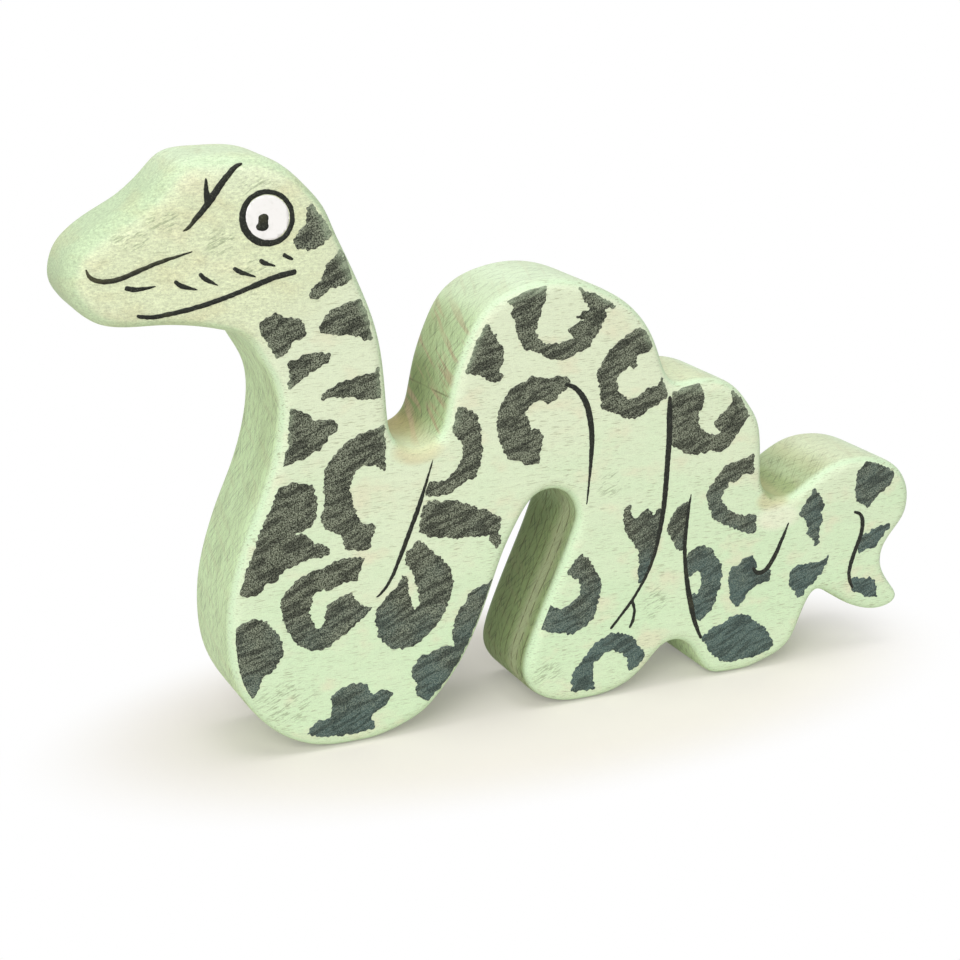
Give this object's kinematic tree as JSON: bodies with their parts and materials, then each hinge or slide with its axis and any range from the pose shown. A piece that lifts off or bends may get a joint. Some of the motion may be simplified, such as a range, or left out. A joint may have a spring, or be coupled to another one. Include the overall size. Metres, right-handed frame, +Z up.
{
  "type": "wooden snake toy",
  "caption": "Flat wooden snake figure sawn from one rounded board, coiled in standing loops, with printed blotches, drawn lines and painted eyes on both faces.",
  "frame": {"origin": "on the floor, under the middle of the toy's length and of the board's thickness", "axes": "+X from the head towards the tail, +Y through the board from the left face to the right face, +Z up"},
  "size_m": [0.1592, 0.0204, 0.1028],
  "materials": {
    "stained_wood": "pale green stain on sanded beech, rubbed thin on the faces, darker on the sawn edge",
    "blotch_ink": "matt charcoal print with ragged edges, the grain showing through",
    "line_ink": "matt near-black brush line",
    "eye_paint": "satin white paint"
  },
  "bodies": {
    "root": {"wood_body": "stained_wood", "left_neck_bands": "blotch_ink", "left_coil_blotches": "blotch_ink", "left_hump_blotches": "blotch_ink", "left_middle_blotches": "blotch_ink", "left_rear_blotches": "blotch_ink", "left_tail_blotches": "blotch_ink", "left_coil_lines": "line_ink", "left_mouth_lines": "line_ink", "left_brow_line": "line_ink", "left_cheek_ticks": "line_ink", "left_eye_ring": "line_ink", "left_pupil": "line_ink", "left_eye_white": "eye_paint", "right_neck_bands": "blotch_ink", "right_coil_blotches": "blotch_ink", "right_hump_blotches": "blotch_ink", "right_middle_blotches": "blotch_ink", "right_rear_blotches": "blotch_ink", "right_tail_blotches": "blotch_ink", "right_coil_lines": "line_ink", "right_mouth_lines": "line_ink", "right_brow_line": "line_ink", "right_cheek_ticks": "line_ink", "right_eye_ring": "line_ink", "right_pupil": "line_ink", "right_eye_white": "eye_paint"}
  },
  "joints": []
}
